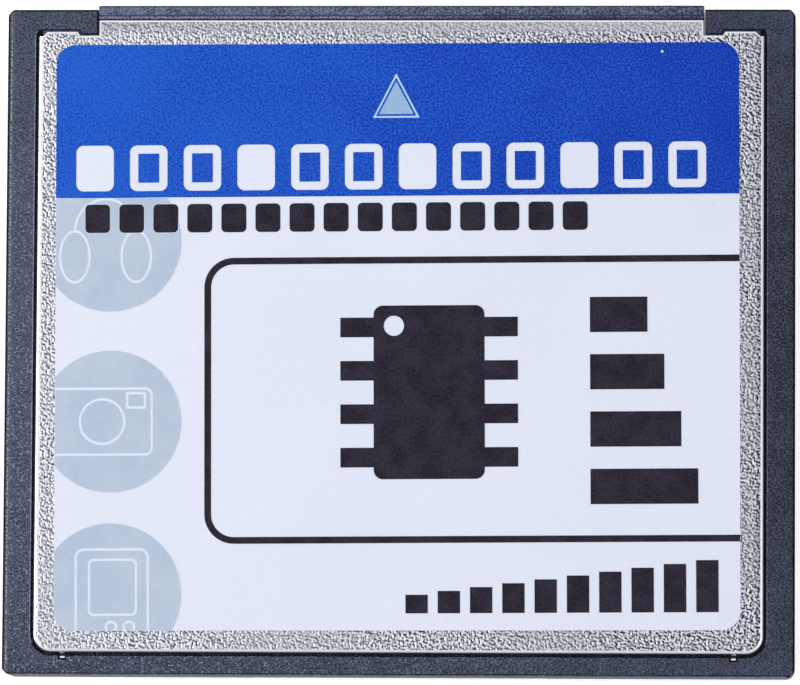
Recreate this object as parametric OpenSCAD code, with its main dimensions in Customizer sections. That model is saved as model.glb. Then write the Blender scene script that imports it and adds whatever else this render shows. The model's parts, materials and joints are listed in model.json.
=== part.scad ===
// Flash memory card with a 50-way socket at one end, lying on its back panel.
// X runs across the card, Y towards the connector, Z up out of the label.
// The origin is under the middle of the card, on the surface it lies on.

/* [Card] */
// Width across the two side rails
card_w = 42.8; // [42.4:0.1:44]
// Length from the rear edge to the face of the connector
card_l = 36.4; // [36:0.1:38]
// Thickness over the two steel panels, without the label
body_t = 3.2; // [3.15:0.05:3.8]

/* [Moulded frame] */
// Radius of the four outer corners
corner_r = 0.5; // [0.3:0.05:1]
// Chamfer along the outer edges of both broad faces
edge_chamfer = 0.12; // [0.05:0.01:0.2]
// Width of a side rail, from the card's side to the edge of the panel
rail_w = 1.65; // [1.5:0.05:1.8]
// Width of the rear bar, from the rear edge to the edge of the panel
rear_bar_w = 1.2; // [1.1:0.05:1.5]
// How far the frame's broad faces lie below the steel panels
frame_sink = 0.05; // [0.02:0.01:0.1]
// Open line between the frame and the edge of a panel
panel_gap = 0.12; // [0.06:0.01:0.16]
// How far the two ears stop short of the connector's face
ear_setback = 0.2; // [0:0.05:0.5]
// Width of each ear, from the card's side to the connector
ear_w = 4.9; // [4.6:0.1:5.1]
// Length of each ear along the card
ear_l = 1.14; // [0.9:0.02:1.4]
// Width of the small tab at the inner end of each ear
ear_tab_w = 1; // [0.6:0.1:1.6]
// How far the small tab reaches past the ear
ear_tab_drop = 0.22; // [0.1:0.02:0.3]
// Slant at the outer end of the small tab
ear_tab_slant = 0.12; // [0.04:0.02:0.3]
// Length of the block behind each ear that holds the connector
ear_block_l = 5.4; // [5.2:0.1:6]
// Width of the shelf under the edge of the board
shelf_w = 0.6; // [0.4:0.05:0.8]
// Diameter of the locating pins between the two halves
pin_d = 0.8; // [0.6:0.05:0.9]
// Height of the locating pins
pin_h = 0.5; // [0.3:0.05:0.6]
// Clearance round a locating pin, and above it
pin_gap = 0.05; // [0.03:0.01:0.08]
// Distance of the rear pins from the rear edge
rear_pin_y = 1.6; // [1.2:0.1:3]
// Distance of the front pins from the connector's face
front_pin_y = 4; // [2:0.1:6]
// Length of the fingernail groove in the back of the rear bar
nail_groove_l = 16; // [8:0.5:24]
// Width of the fingernail groove
nail_groove_w = 0.55; // [0.3:0.05:0.6]
// Depth of the fingernail groove
nail_groove_d = 0.5; // [0.3:0.05:0.6]

/* [Guide grooves] */
// Length of both guide grooves from the connector's face
groove_l = 25.78; // [20:0.02:30]
// Depth of both guide grooves
groove_d = 0.76; // [0.5:0.02:0.9]
// Height of the left groove
left_groove_h = 0.99; // [0.8:0.01:1.2]
// Distance of the left groove's middle below the seam
left_groove_drop = 0.09; // [0:0.01:0.2]
// Height of the right groove
right_groove_h = 1.6; // [1.4:0.02:1.8]
// Distance of the right groove's middle above the seam
right_groove_lift = 0.04; // [0:0.01:0.15]

/* [Steel panels] */
// Thickness of the sheet
panel_t = 0.15; // [0.1:0.01:0.18]
// Outer radius of the bend round the rim
bend_r = 0.25; // [0.2:0.01:0.35]
// Depth of the rim from the panel's outer face
skirt_h = 0.75; // [0.6:0.05:0.9]
// Radius of the two rear corners
panel_corner_r = 1; // [0.6:0.05:1.5]
// Distance of the tongue's edge from the connector's face
tongue_setback = 0.8; // [0.7:0.05:1.2]
// Gap between the panel's front edges and the ears
shoulder_gap = 0.08; // [0.04:0.01:0.12]
// How far the bent rim stops short of the shoulder
rim_stop = 0.27; // [0.25:0.01:0.8]
// Chamfer at the outer corners of the shoulders
shoulder_chamfer = 0.25; // [0.1:0.05:0.25]
// Radius of the frame's inner corners in front of the shoulders
room_corner_r = 0.3; // [0.1:0.05:0.35]
// Clearance between the rim and the blocks inside it
skirt_gap = 0.1; // [0.05:0.01:0.2]
// Width of the two lugs at the rear edge
lug_w = 0.25; // [0.2:0.05:0.8]
// How far the lugs reach into the rear bar
lug_reach = 0.28; // [0.18:0.01:0.35]
// Distance of the lugs inside the panel's sides
lug_inset = 1.65; // [1.4:0.05:5]
// Clearance round the lugs
lug_gap = 0.05; // [0.03:0.01:0.08]

/* [Connector] */
// Gap between the connector and each ear
conn_gap = 0.05; // [0.03:0.01:0.1]
// Length of the housing along the card
conn_l = 6.4; // [6.2:0.1:7]
// Length of the raised lip at the face
lip_l = 0.52; // [0.3:0.02:0.65]
// How far the lip lies below the steel panels
lip_sink = 0.08; // [0.05:0.01:0.12]
// Chamfer along the lip's edges
lip_chamfer = 0.06; // [0.02:0.01:0.1]
// Length of the thinner shroud at the rear of the housing
shroud_l = 1; // [0.6:0.1:1.4]
// Thickness of the shroud
shroud_t = 2.1; // [1.9:0.05:2.4]
// Reach of the flanges into the ear blocks
flange_reach = 1.8; // [1.4:0.1:2]
// Length of the flanges along the card
flange_l = 1.55; // [1.2:0.05:2]
// Thickness of the flanges
flange_t = 1.9; // [1.5:0.05:2]
// Distance of the flanges from the connector's face
flange_y = 2.7; // [2.4:0.1:3]
// Clearance round the flanges
flange_gap = 0.04; // [0.02:0.01:0.08]

/* [Sockets and contacts] */
// Distance between sockets along a row
pitch = 1.27; // [1.1:0.01:1.3]
// Distance between the two rows
row_gap = 1.27; // [1.2:0.01:1.32]
// Least distance from the end of a row to the end of the connector
end_wall = 0.5; // [0.3:0.05:1]
// Width and height of one square socket
socket_w = 0.7; // [0.6:0.02:0.8]
// Depth of the socket
socket_l = 4.5; // [4.2:0.1:4.8]
// Width of the chamfered mouth
mouth_w = 0.95; // [0.82:0.01:1.05]
// Depth of the chamfered mouth
mouth_l = 0.15; // [0.08:0.01:0.25]
// Width of a contact's strip
contact_w = 0.28; // [0.2:0.01:0.34]
// Thickness of a contact's root, where the housing grips it
root_t = 0.2; // [0.14:0.01:0.3]
// Clearance round the root
root_gap = 0.02; // [0.01:0.01:0.04]
// Thickness of one spring arm
arm_t = 0.1; // [0.06:0.01:0.12]
// Open width between the arms where they grip a pin
grip_w = 0.28; // [0.2:0.01:0.36]
// Distance of the arm tips from the connector's face
tip_y = 0.9; // [0.6:0.05:1.4]
// Length of the flared mouth of the arms
flare_l = 0.45; // [0.3:0.05:0.8]
// Length of the solid base that the arms spring from
fork_l = 0.4; // [0.3:0.05:0.6]
// Clearance between a contact and the walls of its socket
fork_gap = 0.05; // [0.03:0.01:0.07]
// Thickness of a solder tail
tail_t = 0.13; // [0.1:0.01:0.16]
// Length of a tail on the board
tail_l = 1.4; // [1:0.1:1.8]

/* [Circuit board] */
// Thickness of the board
board_t = 0.6; // [0.5:0.05:0.7]
// Distance of the board's edge inside the panel's edge
board_inset = 0.85; // [0.8:0.05:1]
// Gap between the board and the frame round it
board_gap = 0.1; // [0.05:0.01:0.15]
// Gap between the board and the connector
board_front_gap = 0.2; // [0.1:0.05:0.3]
// Length of the notch in each side of the board
notch_l = 1.4; // [1:0.1:2]
// Depth of the notch
notch_d = 0.5; // [0.3:0.05:0.55]
// Distance of the notches from the rear edge of the card
notch_y = 14; // [10:0.5:20]
// Diameter of the two tooling holes
tooling_d = 1.2; // [0.8:0.1:1.6]

/* [Chips] */
// The flash chip's part of the chips' room across the board
flash_part = 3; // [2.8:0.1:3.2]
// The controller's part of that room, leads and all
control_part = 4; // [3.8:0.1:4.2]
// Clearance between the flash chips and the frame's shelf
edge_room = 2.15; // [1.6:0.05:2.4]
// Clearance between the controller's leads and the ends of the flash chip's
control_end = 2; // [1.6:0.1:2.6]
// Least distance from a flash chip's corner to its first lead
flash_corner = 0.1; // [0.05:0.05:0.4]
// Least distance from the controller's corner to its first lead
control_corner = 0.8; // [0.6:0.1:1.2]
// Distance between leads on the chips
lead_pitch = 0.5; // [0.45:0.01:0.55]
// Width of a lead
lead_w = 0.22; // [0.16:0.01:0.26]
// Thickness of a lead
lead_t = 0.13; // [0.1:0.01:0.16]
// Reach of a flash chip's leads
flash_reach = 0.8; // [0.7:0.02:0.9]
// Reach of the controller's leads
control_reach = 1; // [0.8:0.02:1.1]
// Length of a lead's foot on the board
foot_l = 0.45; // [0.3:0.05:0.5]
// Thickness of the chips' bodies
chip_t = 0.95; // [0.8:0.01:1]
// Height of the chips above the board
chip_lift = 0.06; // [0.04:0.01:0.1]
// Draft of the moulded chip bodies
chip_draft = 0.12; // [0.05:0.01:0.2]
// Width of the flash chips' dimple at the first lead
flash_dimple = 0.8; // [0.5:0.1:1.2]
// Width of the controller's dimple
control_dimple = 0.9; // [0.5:0.1:1.2]
// Width of the regulator's dimple
reg_dimple = 0.3; // [0.2:0.05:0.4]
// Depth of the dimples
dimple_depth = 0.05; // [0.02:0.01:0.1]
// Gap between neighbours on the board
part_gap = 0.7; // [0.5:0.05:0.8]
// Clearance between the resistor networks and the row behind them
net_room = 1.05; // [0.8:0.05:1.6]

/* [Small parts] */
// Length of the oscillator's base
osc_l = 5; // [4:0.1:5.2]
// Width of the oscillator's base
osc_w = 3.2; // [2.5:0.1:3.4]
// Height of the oscillator's base
osc_t = 0.75; // [0.6:0.05:0.8]
// Thickness of the oscillator's lid
osc_lid_t = 0.15; // [0.1:0.01:0.25]
// Distance from the edge of the oscillator's base to its lid
osc_rim = 0.35; // [0.2:0.05:0.6]
// Radius of the lid's corners
osc_lid_r = 0.3; // [0.1:0.05:0.5]
// Length of the regulator's body
reg_l = 2.9; // [2.7:0.1:3.2]
// Width of the regulator's body
reg_w = 1.6; // [1.4:0.1:1.8]
// Height of the regulator's body
reg_t = 0.95; // [0.8:0.01:1]
// Distance between the regulator's leads
reg_pitch = 0.95; // [0.85:0.01:1]
// Width of a regulator lead
reg_lead_w = 0.38; // [0.3:0.02:0.45]
// Reach of the regulator's leads
reg_reach = 0.6; // [0.55:0.05:0.8]
// Length of a tantalum capacitor
tant_l = 3.5; // [3:0.1:3.8]
// Width of a tantalum capacitor
tant_w = 2.8; // [2.2:0.1:3]
// Height of a tantalum capacitor
tant_t = 1; // [0.8:0.02:1.05]
// Width of a tantalum capacitor's terminals
tant_end_w = 2.2; // [1.6:0.1:2.2]
// Height of a tantalum capacitor's terminals
tant_end_t = 0.6; // [0.4:0.05:0.7]
// Length of a ceramic capacitor
cap_l = 1.6; // [1.2:0.1:1.8]
// Width of a ceramic capacitor
cap_w = 0.8; // [0.6:0.05:0.9]
// Height of a ceramic capacitor
cap_t = 0.7; // [0.4:0.05:0.8]
// Ceramic capacitors in the row before the chips
front_cap_count = 6; // [2:1:6]
// Ceramic capacitors between the flash chip and the controller
middle_cap_count = 3; // [1:1:4]
// Ceramic capacitors on the back
back_cap_count = 5; // [2:1:6]
// Height of a chip resistor, which has the capacitor's length and width
res_t = 0.45; // [0.35:0.05:0.6]
// Length of a resistor network
net_l = 3.2; // [2.8:0.1:3.4]
// Width of a resistor network
net_w = 1.6; // [1.4:0.1:1.8]
// Height of a resistor network
net_t = 0.5; // [0.4:0.05:0.6]
// Resistor networks in the row on each face
net_count = 7; // [2:1:7]
// Metal ends along each side of a network
net_end_count = 4; // [2:1:5]
// Length of the metal ends on the small parts
end_l = 0.3; // [0.2:0.05:0.4]

/* [Label] */
// Distance of the label's sides inside the panel's sides
label_side = 1.22; // [0.8:0.02:2.4]
// Distance of the label's front edge behind the panel's shoulders
label_front = 0.68; // [0.5:0.02:1.2]
// Distance of the label's rear edge from the panel's rear edge
label_rear = 1.25; // [0.9:0.05:2]
// Radius of the label's corners
label_r = 1.05; // [0.5:0.05:2]
// Thickness of the film
label_t = 0.08; // [0.05:0.01:0.12]
// Thickness of the ink
ink_t = 0.02; // [0.01:0.005:0.03]
// How far the label sits to the right of the card's middle
label_x = -0.12; // [-0.3:0.01:0.3]
// Small turn of the label on the panel
label_turn = 0.25; // [-0.5:0.05:0.5]
// Small turn of the print on the label
print_turn = 0.2; // [-0.3:0.05:0.3]

/* [Print] */
// Depth of the blue band from the label's front edge
band_l = 8.3; // [7.8:0.1:8.4]
// Width of the arrow's base
arrow_w = 2.54; // [1.6:0.02:3.4]
// Height of the arrow
arrow_h = 2.42; // [1.6:0.02:3]
// Distance of the arrow's base behind the label's front edge
arrow_back = 4.05; // [3.5:0.05:4.6]
// Width of the open blue line inside the arrow's edge
arrow_line = 0.1; // [0.06:0.01:0.14]
// Radius of the pale discs
disc_r = 3.86; // [3:0.02:4.2]
// Distance of the discs' middles from the label's left edge
disc_side = 3; // [2.4:0.05:3.8]
// Width of the fine lines in the discs
fine_line = 0.12; // [0.08:0.01:0.16]
// Width of the black box line
box_line = 0.36; // [0.2:0.02:0.5]
// Distance of the box from the label's left edge
box_side = 8.11; // [7.4:0.01:8.8]
// Distance of the box from the blue band
box_front = 3.32; // [2.6:0.02:3.8]
// Distance of the box from the label's rear edge
box_rear = 4.72; // [4.2:0.02:5.4]
// Outer radius of the box's corners
box_r = 1.6; // [0.8:0.05:2.2]
// Distance of the row of white blocks from the label's sides
block_side = 1.13; // [0.8:0.01:1.6]
// Distance from one white block to the next
block_step = 2.92; // [2.4:0.02:3]
// Distance of the white blocks in front of the band's edge
block_lift = 0.35; // [0.2:0.05:0.6]
// Width of a white block
block_w = 2.05; // [1.6:0.05:2.2]
// Length of a white block along the card
block_l = 2.5; // [1.8:0.05:2.8]
// Corner radius of a white block
block_r = 0.4; // [0.2:0.05:0.6]
// Line width of the open white blocks
block_line = 0.46; // [0.25:0.02:0.6]
// Distance of the row of dashes from the label's left edge
dash_side = 1.63; // [1.2:0.01:2.4]
// Least distance of the row of dashes from the label's right edge
dash_end = 7.5; // [5.6:0.1:12]
// Distance of the dashes' rear edges behind the blue band
dash_drop = 1.92; // [1.7:0.02:2.4]
// Distance from one dash to the next
dash_step = 1.85; // [1.6:0.05:2.1]
// Width of a dash
dash_w = 1.35; // [0.8:0.05:1.5]
// Length of a dash along the card
dash_l = 1.55; // [1:0.05:1.7]
// Corner radius of a dash
dash_r = 0.25; // [0.1:0.05:0.4]
// Distance of the chip picture behind the box's front edge
chip_front = 2.65; // [2:0.05:3.4]
// Distance of the chip picture from the box's rear edge
chip_rear = 3.45; // [2.4:0.05:4]
// How far the chip picture sits to the right of the label's middle
chip_figure_x = 1.75; // [0:0.05:3]
// Width of the chip picture's body
chip_figure_w = 6; // [5:0.1:7]
// Corner radius of the chip picture
chip_figure_r = 0.5; // [0.2:0.1:0.8]
// Length of a pin in the chip picture
chip_pin_l = 1.8; // [1:0.1:2]
// Share of the distance between two pins that a pin takes
chip_pin_share = 0.45; // [0.3:0.05:0.6]
// Radius of the chip picture's light mark
chip_mark_r = 0.55; // [0.3:0.05:0.7]
// Distance of the column of bars from the label's right edge
bar_side = 8.08; // [7:0.02:9]
// Distance of the column of bars behind the box's front edge
bar_front = 2.25; // [1.6:0.05:3]
// Distance of the column of bars from the box's rear edge
bar_rear = 2.05; // [1.4:0.05:3]
// Width of the rearmost bar
bar_w = 5.8; // [4:0.1:6.4]
// How much narrower each bar is than the last
bar_less = 0.9; // [0.4:0.1:1.2]
// Share of the distance between two bars that a bar takes
bar_share = 0.613; // [0.4:0.001:0.8]
// Distance of the rising row's left end from the label's right edge
ramp_side = 18.08; // [17.6:0.02:18.4]
// Distance of the rising row from the label's rear edge
ramp_rear = 0.92; // [0.6:0.02:1.2]
// Width of a bar in the rising row
ramp_bar_w = 1.2; // [0.8:0.05:1.5]
// Distance from one rising bar to the next
ramp_step = 1.74; // [1.6:0.02:1.78]
// Length of the first rising bar
ramp_l = 1; // [0.4:0.1:1.2]
// How much longer each rising bar is than the last
ramp_more = 0.2; // [0.1:0.02:0.24]

/* [Hidden] */
$fn = 48;

// A cut reaches this far past the face that it opens
over = 0.5;

// Planes of the card
side_x = card_w / 2;
face_y = card_l / 2;
rear_y = -card_l / 2;
seam_z = body_t / 2;
ear_y = face_y - ear_setback;
ear_in_y = ear_y - ear_l;
block_y = ear_y - ear_block_l;

// Edges of a panel
panel_x = side_x - rail_w;
panel_y = rear_y + rear_bar_w;
flat_x = panel_x - bend_r;
flat_y = panel_y + bend_r;
shoulder_y = ear_in_y - shoulder_gap;
tongue_y = face_y - tongue_setback;

// Edges of the board and of the frame round it
board_x = panel_x - board_inset;
board_rear_y = panel_y + board_inset;
conn_rear_y = face_y - conn_l;
board_front_y = conn_rear_y - board_front_gap;
board_low_z = seam_z - board_t / 2;
board_high_z = seam_z + board_t / 2;
shelf_x = board_x - shelf_w;
shelf_y = board_rear_y + shelf_w;
wall_x = board_x + board_gap;
wall_y = board_rear_y - board_gap;
conn_x = side_x - ear_w;
tongue_x = conn_x - shoulder_gap;
lug_x = panel_x - lug_inset;
pin_x = (side_x - groove_d + wall_x) / 2;

// Edges of the connector's flanges
flange_x = conn_x + flange_reach;
flange_front_y = face_y - flange_y;
flange_rear_y = flange_front_y - flange_l;

// As many sockets as the connector takes
row_count = floor(2 * (conn_x - end_wall) / pitch);

// Rows of the small parts, from the contact tails back
tails_y = board_front_y - tail_l;
nets_y = tails_y - part_gap - net_w / 2;
caps_y = nets_y - net_w / 2 - net_room - cap_l / 2;

// The flash chip fills the length between the board's rear edge and the capacitors
chips_y = board_rear_y + part_gap;
flash_tip = (caps_y - cap_l / 2 - part_gap - chips_y) / 2;
flash_l = 2 * (flash_tip - flash_reach);
control_l = 2 * (flash_tip - control_end - control_reach);

// Across the board the flash chip and the controller share what the small parts leave
chip_room = 2 * shelf_x - edge_room - 3.5 * part_gap - cap_w - osc_w;
flash_w = chip_room * flash_part / (flash_part + control_part);
control_tip = (chip_room - flash_w) / 2;
control_w = 2 * (control_tip - control_reach);

// Places of the chips on the board
front_flash_x = -shelf_x + edge_room + flash_w / 2;
front_flash_y = chips_y + flash_tip;
control_x = front_flash_x + flash_w / 2 + 2 * part_gap + cap_w + control_tip;
control_y = front_flash_y;
column_x = control_x + control_tip + part_gap / 2;
back_flash_x = -shelf_x + part_gap + flash_tip;
back_flash_y = chips_y + 2 * part_gap + flash_w / 2;
back_column_x = back_flash_x + flash_tip + part_gap + tant_l / 2;
back_caps_y = back_flash_y + flash_w / 2 + 2 * part_gap + cap_l / 2;

// Label and the heights of its print
label_w = 2 * (panel_x - label_side);
label_l = shoulder_y - label_front - panel_y - label_rear;
label_y = panel_y + label_rear + label_l / 2;
label_z = body_t;
ink_z = label_z + label_t;

// Print, measured from the label's middle
band_y = label_l / 2 - band_l;
arrow_y = label_l / 2 - arrow_back;
disc_x = label_w / 2 - disc_side;
disc_at = [0.1, 0.517, 0.915];
disc_y = [for (share = disc_at) band_y - share * (label_l - band_l)];
box_x = label_w / 2 - box_side;
box_front_y = band_y - box_front;
box_rear_y = box_rear - label_l / 2;
block_x = block_side - label_w / 2;
block_count = floor((label_w - 2 * block_side - block_w) / block_step) + 1;
dash_x = dash_side - label_w / 2;
dash_y = band_y - dash_drop;
dash_count = floor((label_w - dash_side - dash_end) / dash_step);

// Chip picture and column of bars, as long as the box allows
chip_figure_l = box_front_y - chip_front - box_rear_y - chip_rear;
chip_figure_y = box_rear_y + chip_rear + chip_figure_l / 2;
bar_count = 4;
bar_step = (box_front_y - bar_front - box_rear_y - bar_rear) / (bar_count - 1 + bar_share);
bar_l = bar_share * bar_step;
ramp_count = 10;

// Evenly spread places either side of zero
function spread(n, step) = [for (i = [0:n - 1]) (i - (n - 1) / 2) * step];

// An outline in Y and Z drawn out along X
module along_x(x0, x1) {
  translate([x0, 0, 0])
    rotate([90, 0, 90])
      linear_extrude(x1 - x0)
        children();
}

// An outline in X and Z drawn out along Y
module along_y(y0, y1) {
  translate([0, y1, 0])
    rotate([90, 0, 0])
      linear_extrude(y1 - y0)
        children();
}

// A rectangle from one corner to the other
module field(x0, y0, x1, y1) {
  translate([x0, y0])
    square([x1 - x0, y1 - y0]);
}

// A rectangle with round corners
module round_field(x0, y0, x1, y1, r) {
  field(x0, y0 + r, x1, y1 - r);
  field(x0 + r, y0, x1 - r, y1);
  for (x = [x0 + r, x1 - r], y = [y0 + r, y1 - r])
    translate([x, y])
      circle(r);
}

// The line round such a rectangle
module round_line(x0, y0, x1, y1, r, w) {
  difference() {
    round_field(x0, y0, x1, y1, r);
    round_field(x0 + w, y0 + w, x1 - w, y1 - w, max(r - w, 0.01));
  }
}

// A shape of the lower half, turned over to the upper half
module upper_side() {
  translate([0, 0, body_t])
    mirror([0, 0, 1])
      children();
}

// Parts on the front and on the back of the board
module on_front() {
  translate([0, 0, board_high_z])
    children();
}

module on_back() {
  translate([0, 0, board_low_z])
    mirror([0, 0, 1])
      children();
}

// Section of the frame's outer edges, from edge a to edge b
module edge_section(a, b) {
  c = edge_chamfer;
  polygon([
    [a + c, frame_sink], [b - c, frame_sink], [b, frame_sink + c],
    [b, seam_z], [a, seam_z], [a, frame_sink + c]
  ]);
}

// Solid block that one frame half is cut from
module frame_blank() {
  intersection() {
    translate([0, 0, frame_sink])
      linear_extrude(seam_z - frame_sink)
        round_field(-side_x, rear_y, side_x, ear_y, corner_r);
    along_y(rear_y - over, ear_y + over)
      edge_section(-side_x, side_x);
    along_x(-side_x - over, side_x + over)
      edge_section(rear_y, ear_y);
  }
}

// Small tab of the right ear, drawn out by a gap on the sides that face the panel
module ear_tab(gap) {
  polygon([
    [conn_x - gap, ear_in_y + over], [conn_x - gap, ear_in_y - ear_tab_drop - gap],
    [conn_x + ear_tab_w - ear_tab_slant + gap, ear_in_y - ear_tab_drop - gap],
    [conn_x + ear_tab_w + gap, ear_in_y - gap], [conn_x + ear_tab_w + gap, ear_in_y + over]
  ]);
}

// Room for a panel and its rim, round at its corners, with the small tabs of the ears left standing
module panel_room() {
  x = panel_x + panel_gap;
  y = panel_y - panel_gap;
  rear_r = panel_corner_r + panel_gap;
  difference() {
    intersection() {
      round_field(-x, y, x, ear_in_y + rear_r, rear_r);
      round_field(-x, y - room_corner_r, x, ear_in_y, room_corner_r);
    }
    for (side = [0, 1])
      mirror([side, 0])
        ear_tab(0);
  }
}

// Opening for the connector, between the ears
module connector_room(from_y) {
  field(-conn_x, from_y, conn_x, ear_y + over);
}

// Guide groove along one side, over the height from z0 to z1
module guide_groove(side, z0, z1) {
  groove_y = face_y - groove_l;
  translate([side * side_x - groove_d, groove_y, z0])
    cube([2 * groove_d, groove_l + over, z1 - z0]);
}

// One half of the frame, with the part of each guide groove that falls in it
module frame_half(left_cut, right_cut) {
  difference() {
    union() {
      difference() {
        frame_blank();
        translate([0, 0, -over])
          linear_extrude(skirt_h + over)
            panel_room();
        translate([0, 0, frame_sink])
          linear_extrude(seam_z) {
            field(-shelf_x, shelf_y, shelf_x, block_y);
            connector_room(shelf_y);
          }
        translate([0, 0, board_low_z])
          linear_extrude(seam_z)
            field(-wall_x, wall_y, wall_x, block_y);
      }
      ear_blocks();
      board_ribs();
    }
    flange_slots();
    guide_groove(-1, seam_z - left_cut, seam_z + over);
    guide_groove(1, seam_z - right_cut, seam_z + over);
    lug_notches();
  }
}

// Blocks under the panel's shoulders that hold the connector
module ear_blocks() {
  block_x = panel_x - panel_t - skirt_gap;
  for (side = [-1, 1])
    translate([side * (conn_x + block_x) / 2, (block_y + ear_in_y) / 2, panel_t])
      linear_extrude(skirt_h - panel_t)
        square([block_x - conn_x, ear_in_y - block_y], center = true);
}

// Ribs in the frame that enter the board's notches
module board_ribs() {
  rib_l = notch_l - 2 * board_gap;
  rib_x = board_x - notch_d + board_gap;
  for (side = [-1, 1])
    translate([side * (rib_x + wall_x) / 2, rear_y + notch_y, board_low_z])
      linear_extrude(seam_z - board_low_z)
        square([wall_x - rib_x, rib_l], center = true);
}

// Slots in the ear blocks for the connector's flanges
module flange_slots() {
  slot_z = seam_z - flange_t / 2 - flange_gap;
  slot_rear_y = flange_rear_y - flange_gap;
  slot_l = flange_l + 2 * flange_gap;
  slot_x = flange_x + flange_gap;
  translate([-slot_x, slot_rear_y, slot_z])
    cube([2 * slot_x, slot_l, seam_z]);
}

// Notches in the rear bar for the panel's lugs
module lug_notches() {
  for (side = [-1, 1])
    translate([side * lug_x - lug_w / 2 - lug_gap, panel_y - lug_reach - lug_gap, -over])
      cube([lug_w + 2 * lug_gap, lug_reach + lug_gap, over + bend_r + lug_gap]);
}

// Places of the four locating pins
module at_pins() {
  for (side = [-1, 1], y = [rear_y + rear_pin_y, face_y - front_pin_y])
    translate([side * pin_x, y, seam_z])
      children();
}

module lower_frame() {
  color([0.26, 0.28, 0.36]) {
    difference() {
      frame_half(left_groove_h / 2 + left_groove_drop, right_groove_h / 2 - right_groove_lift);
      translate([-nail_groove_l / 2, rear_y - over, -over])
        cube([nail_groove_l, nail_groove_w + over, nail_groove_d + over]);
    }
    at_pins()
      cylinder(h = pin_h, d = pin_d);
  }
}

module upper_frame() {
  color([0.26, 0.28, 0.36])
    difference() {
      upper_side()
        frame_half(left_groove_h / 2 - left_groove_drop, right_groove_h / 2 + right_groove_lift);
      at_pins()
        translate([0, 0, -over])
          cylinder(h = pin_h + pin_gap + over, d = pin_d + 2 * pin_gap);
    }
}

// Section of the bent rim: u is zero at the panel's edge and negative towards the middle
module rim_section() {
  intersection() {
    difference() {
      translate([-bend_r, bend_r])
        circle(bend_r);
      translate([-bend_r, bend_r])
        circle(bend_r - panel_t);
    }
    field(-bend_r, 0, 0, bend_r);
  }
  field(-panel_t, bend_r, 0, skirt_h);
}

// Straight stretch of rim along the right side
module side_rim() {
  along_y(panel_y + panel_corner_r, shoulder_y - rim_stop)
    translate([panel_x, 0])
      rim_section();
}

// Flat sheet of a panel, up to where its rim starts to bend
module flat_outline() {
  r = panel_corner_r - bend_r;
  c = shoulder_chamfer;
  difference() {
    union() {
      field(-flat_x, flat_y + r, flat_x, shoulder_y);
      field(-flat_x + r, flat_y, flat_x - r, flat_y + r);
      for (side = [-1, 1])
        translate([side * (flat_x - r), flat_y + r])
          circle(r);
      field(-tongue_x, shoulder_y - over, tongue_x, tongue_y);
    }
    for (side = [0, 1])
      mirror([side, 0]) {
        ear_tab(shoulder_gap);
        polygon([[flat_x - c, shoulder_y], [flat_x, shoulder_y], [flat_x, shoulder_y - c]]);
      }
  }
}

module steel_panel() {
  linear_extrude(panel_t)
    flat_outline();
  side_rim();
  mirror([1, 0, 0])
    side_rim();
  along_x(-panel_x + panel_corner_r, panel_x - panel_corner_r)
    translate([panel_y, 0])
      mirror([1, 0])
        rim_section();
  for (side = [0, 1])
    mirror([side, 0, 0])
      translate([panel_x - panel_corner_r, panel_y + panel_corner_r, 0])
        rotate([0, 0, -90])
          rotate_extrude(angle = 90)
            translate([panel_corner_r, 0])
              rim_section();
  for (side = [-1, 1])
    translate([side * lug_x - lug_w / 2, panel_y - lug_reach, bend_r - panel_t])
      cube([lug_w, lug_reach + panel_t / 2, panel_t]);
}

module bottom_panel() {
  color([0.72, 0.73, 0.78])
    steel_panel();
}

module top_panel() {
  color([0.72, 0.73, 0.78])
    upper_side()
      steel_panel();
}

// Half section of one cavity from the face back: mouth, socket, slot for the root
function cavity(c, slot) = [
  [c - mouth_w / 2, face_y + over], [c - mouth_w / 2, face_y],
  [c - socket_w / 2, face_y - mouth_l], [c - socket_w / 2, face_y - socket_l],
  [c - slot / 2, face_y - socket_l], [c - slot / 2, conn_rear_y - over],
  [c + slot / 2, conn_rear_y - over], [c + slot / 2, face_y - socket_l],
  [c + socket_w / 2, face_y - socket_l], [c + socket_w / 2, face_y - mouth_l],
  [c + mouth_w / 2, face_y], [c + mouth_w / 2, face_y + over]
];

function swap(points) = [for (p = points) [p[1], p[0]]];

// All the cavities: the columns seen from above, crossed with the rows seen from the side
module cavities() {
  intersection() {
    linear_extrude(body_t)
      for (x = spread(row_count, pitch))
        polygon(cavity(x, contact_w + 2 * root_gap));
    along_x(-conn_x, conn_x)
      for (z = spread(2, row_gap))
        polygon(swap(cavity(seam_z + z, root_t + 2 * root_gap)));
  }
}

// Section of the housing below the seam; its upper half is the mirror image
module housing_section() {
  c = lip_chamfer;
  lip_y = face_y - lip_l;
  shroud_z = seam_z - shroud_t / 2;
  polygon([
    [face_y, seam_z], [face_y, lip_sink + c], [face_y - c, lip_sink],
    [lip_y, lip_sink], [lip_y, panel_t], [conn_rear_y + shroud_l, panel_t],
    [conn_rear_y + shroud_l, shroud_z], [conn_rear_y, shroud_z], [conn_rear_y, seam_z]
  ]);
}

module connector_housing() {
  color([0.36, 0.39, 0.49])
    difference() {
      union() {
        along_x(-conn_x + conn_gap, conn_x - conn_gap) {
          housing_section();
          translate([0, body_t])
            mirror([0, 1])
              housing_section();
        }
        translate([-flange_x, flange_rear_y, seam_z - flange_t / 2])
          cube([2 * flange_x, flange_l, flange_t]);
      }
      cavities();
    }
}

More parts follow.
